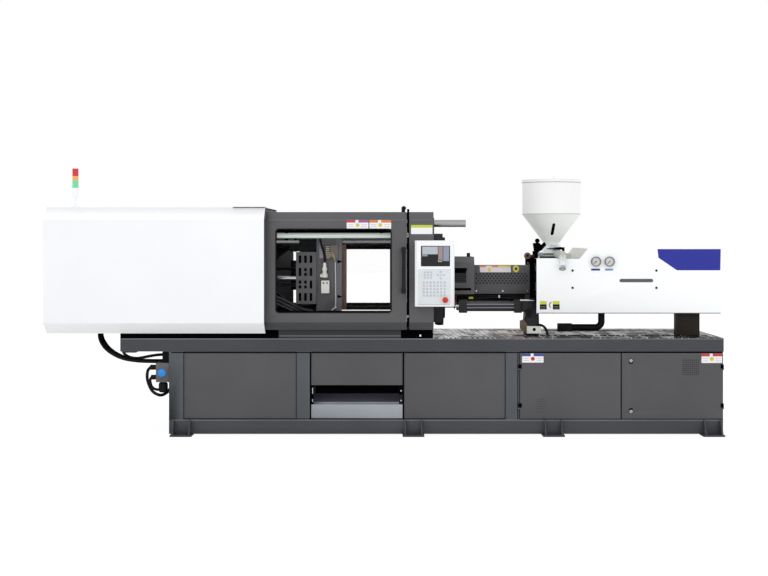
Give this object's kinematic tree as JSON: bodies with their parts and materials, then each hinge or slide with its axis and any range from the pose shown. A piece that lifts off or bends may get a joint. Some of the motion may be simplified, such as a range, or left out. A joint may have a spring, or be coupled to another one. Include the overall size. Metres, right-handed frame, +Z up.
{
  "type": "injection moulding machine",
  "caption": "Horizontal injection moulding machine: a toggle clamp under guards and sliding doors, and a barrel with hopper on a sliding carriage, on one welded base.",
  "frame": {"origin": "on the floor, under the middle of the machine's bounding box", "axes": "+X along the machine from the clamp end to the injection end, -Y towards the operator, +Z up"},
  "size_m": [4.96, 1.284, 1.969],
  "materials": {
    "frame_grey": "satin textured paint",
    "panel_grey": "satin textured paint",
    "door_grey": "satin textured paint",
    "white_paint": "satin paint",
    "bright_sheet": "brushed",
    "ground_steel": "ground",
    "cast_dark": "painted casting",
    "link_steel": "machined",
    "chrome_bar": "polished",
    "clear_sheet": "clear",
    "lamp_tube": "translucent",
    "signal_plastic": "translucent",
    "panel_case": "fine texture",
    "screen_glass": "gloss",
    "stop_red": "gloss",
    "black_plastic": "matt",
    "hose_rubber": "matt",
    "valve_steel": "machined",
    "needle_black": "matt"
  },
  "bodies": {
    "machine": {"base_frame": "frame_grey", "machine_feet": "frame_grey", "base_panels": "panel_grey", "deck_plate": "bright_sheet", "machine_ways": "ground_steel", "product_chute": "bright_sheet", "fixed_platen": "cast_dark", "tie_bars": "chrome_bar", "guard_frame": "bright_sheet", "end_guards": "door_grey", "clamp_guard": "white_paint", "work_lamp": "lamp_tube", "signal_base": "white_paint", "signal_lenses": "signal_plastic", "control_box": "panel_case", "control_screen": "screen_glass", "pull_rods": "chrome_bar", "power_pack": "frame_grey", "hydraulic_blocks": "valve_steel", "clamp_hose_front": "hose_rubber", "clamp_hose_rear": "hose_rubber", "valve_hose": "hose_rubber"},
    "front_door": {"front_door": "door_grey", "front_window": "clear_sheet"},
    "rear_door": {"rear_door": "door_grey", "rear_window": "clear_sheet"},
    "tail": {"tail_platen": "cast_dark", "clamp_cylinder": "cast_dark"},
    "moving": {"moving_platen": "cast_dark", "platen_guard": "door_grey", "safety_bar": "chrome_bar"},
    "crosshead": {"crosshead": "link_steel"},
    "rear_link_upper": {"rear_link_upper": "link_steel"},
    "rear_link_lower": {"rear_link_lower": "link_steel"},
    "front_link_upper": {"front_link_upper": "link_steel"},
    "front_link_lower": {"front_link_lower": "link_steel"},
    "cross_link_upper": {"cross_link_upper": "link_steel"},
    "cross_link_lower": {"cross_link_lower": "link_steel"},
    "ejector": {"ejector_plate": "link_steel"},
    "carriage": {"injection_frame": "cast_dark", "barrel": "ground_steel", "barrel_cover": "door_grey", "injection_housing": "white_paint", "pull_cylinders": "bright_sheet", "hopper": "white_paint", "hopper_base": "bright_sheet", "pressure_gauges": "bright_sheet", "carriage_conduit": "hose_rubber"},
    "screw_drive": {"screw_drive": "cast_dark"},
    "screw": {"injection_screw": "ground_steel"},
    "hopper_lid": {"hopper_lid": "white_paint"},
    "gate": {"gate_lever": "black_plastic"},
    "needle_system": {"needle_system": "needle_black"},
    "needle_back": {"needle_back": "needle_black"},
    "purge_guard": {"purge_guard": "door_grey"},
    "stop_button": {"stop_button": "stop_red"},
    "cabinet_left": {"cabinet_door_left": "panel_grey"},
    "cabinet_right": {"cabinet_door_right": "panel_grey"},
    "latch_upper": {"door_latch_upper": "black_plastic"},
    "latch_lower": {"door_latch_lower": "black_plastic"}
  },
  "joints": [
    {"name": "front_door_slide", "type": "slide", "parent": "machine", "child": "front_door", "axis": [-1, 0, 0], "range_m": [0, 0.75]},
    {"name": "rear_door_slide", "type": "slide", "parent": "machine", "child": "rear_door", "axis": [-1, 0, 0], "range_m": [0, 0.75]},
    {"name": "mould_height", "type": "slide", "parent": "machine", "child": "tail", "axis": [-1, 0, 0], "range_m": [0, 0.2]},
    {"name": "clamp_stroke", "type": "slide", "parent": "tail", "child": "moving", "axis": [1, 0, 0], "range_m": [0, 0.38]},
    {"name": "crosshead_slide", "type": "slide", "parent": "tail", "child": "crosshead", "axis": [1, 0, 0], "range_m": [0, 0.22799]},
    {"name": "rear_link_upper_pivot", "type": "hinge", "parent": "tail", "child": "rear_link_upper", "pos_m": [-0.925, 0, 1.43], "axis": [0, -1, 0], "range_deg": [0, 105.19]},
    {"name": "front_link_upper_pivot", "type": "hinge", "parent": "moving", "child": "front_link_upper", "pos_m": [-0.72, 0, 1.43], "axis": [0, 1, 0], "range_deg": [0, 40.39]},
    {"name": "cross_link_upper_pivot", "type": "hinge", "parent": "crosshead", "child": "cross_link_upper", "pos_m": [-0.88691, 0, 1.265], "axis": [0, 1, 0], "range_deg": [0, 24.39]},
    {"name": "rear_link_lower_pivot", "type": "hinge", "parent": "tail", "child": "rear_link_lower", "pos_m": [-0.925, 0, 0.87], "axis": [0, 1, 0], "range_deg": [0, 105.19]},
    {"name": "front_link_lower_pivot", "type": "hinge", "parent": "moving", "child": "front_link_lower", "pos_m": [-0.72, 0, 0.87], "axis": [0, -1, 0], "range_deg": [0, 40.39]},
    {"name": "cross_link_lower_pivot", "type": "hinge", "parent": "crosshead", "child": "cross_link_lower", "pos_m": [-0.88691, 0, 1.035], "axis": [0, -1, 0], "range_deg": [0, 24.39]},
    {"name": "ejector_slide", "type": "slide", "parent": "moving", "child": "ejector", "axis": [1, 0, 0], "range_m": [0, 0.085]},
    {"name": "carriage_slide", "type": "slide", "parent": "machine", "child": "carriage", "axis": [1, 0, 0], "range_m": [0, 0.25]},
    {"name": "screw_stroke", "type": "slide", "parent": "carriage", "child": "screw_drive", "axis": [1, 0, 0], "range_m": [0, 0.15]},
    {"name": "screw_spin", "type": "hinge", "parent": "screw_drive", "child": "screw", "pos_m": [1.5, 0, 1.15], "axis": [1, 0, 0], "continuous": true},
    {"name": "lid_hinge", "type": "hinge", "parent": "carriage", "child": "hopper_lid", "pos_m": [1.273, 0.236, 1.889], "axis": [-1, 0, 0], "range_deg": [0, 110]},
    {"name": "gate_slide", "type": "slide", "parent": "carriage", "child": "gate", "axis": [0, -1, 0], "range_m": [0, 0.08]},
    {"name": "needle_system_pivot", "type": "hinge", "parent": "carriage", "child": "needle_system", "pos_m": [1.552, -0.412, 1.274], "axis": [0, 1, 0], "range_deg": [0, 270]},
    {"name": "needle_back_pivot", "type": "hinge", "parent": "carriage", "child": "needle_back", "pos_m": [1.652, -0.412, 1.274], "axis": [0, 1, 0], "range_deg": [0, 270]},
    {"name": "purge_guard_hinge", "type": "hinge", "parent": "machine", "child": "purge_guard", "pos_m": [0.5, 0.198, 1.012], "axis": [-1, 0, 0], "range_deg": [0, 100]},
    {"name": "stop_press", "type": "slide", "parent": "machine", "child": "stop_button", "axis": [0, 1, 0], "range_m": [0, 0.005], "stiffness_N_per_m": 600},
    {"name": "cabinet_left_hinge", "type": "hinge", "parent": "machine", "child": "cabinet_left", "pos_m": [0.977, -0.488, 0.364], "axis": [0, 0, -1], "range_deg": [0, 110]},
    {"name": "cabinet_right_hinge", "type": "hinge", "parent": "machine", "child": "cabinet_right", "pos_m": [2.469, -0.488, 0.364], "axis": [0, 0, 1], "range_deg": [0, 110]},
    {"name": "latch_upper_turn", "type": "hinge", "parent": "cabinet_right", "child": "latch_upper", "pos_m": [1.796, -0.47, 0.549], "axis": [0, 1, 0], "range_deg": [0, 90]},
    {"name": "latch_lower_turn", "type": "hinge", "parent": "cabinet_right", "child": "latch_lower", "pos_m": [1.796, -0.47, 0.176], "axis": [0, -1, 0], "range_deg": [0, 90]}
  ],
  "couplings": [
    {"joint": "crosshead_slide", "follows": "clamp_stroke", "ratio": 0.59998},
    {"joint": "rear_link_upper_pivot", "follows": "clamp_stroke", "rad_per_m": 4.8315},
    {"joint": "front_link_upper_pivot", "follows": "clamp_stroke", "rad_per_m": 1.855},
    {"joint": "cross_link_upper_pivot", "follows": "clamp_stroke", "rad_per_m": 1.1202},
    {"joint": "rear_link_lower_pivot", "follows": "clamp_stroke", "rad_per_m": 4.8315},
    {"joint": "front_link_lower_pivot", "follows": "clamp_stroke", "rad_per_m": 1.855},
    {"joint": "cross_link_lower_pivot", "follows": "clamp_stroke", "rad_per_m": 1.1202}
  ]
}
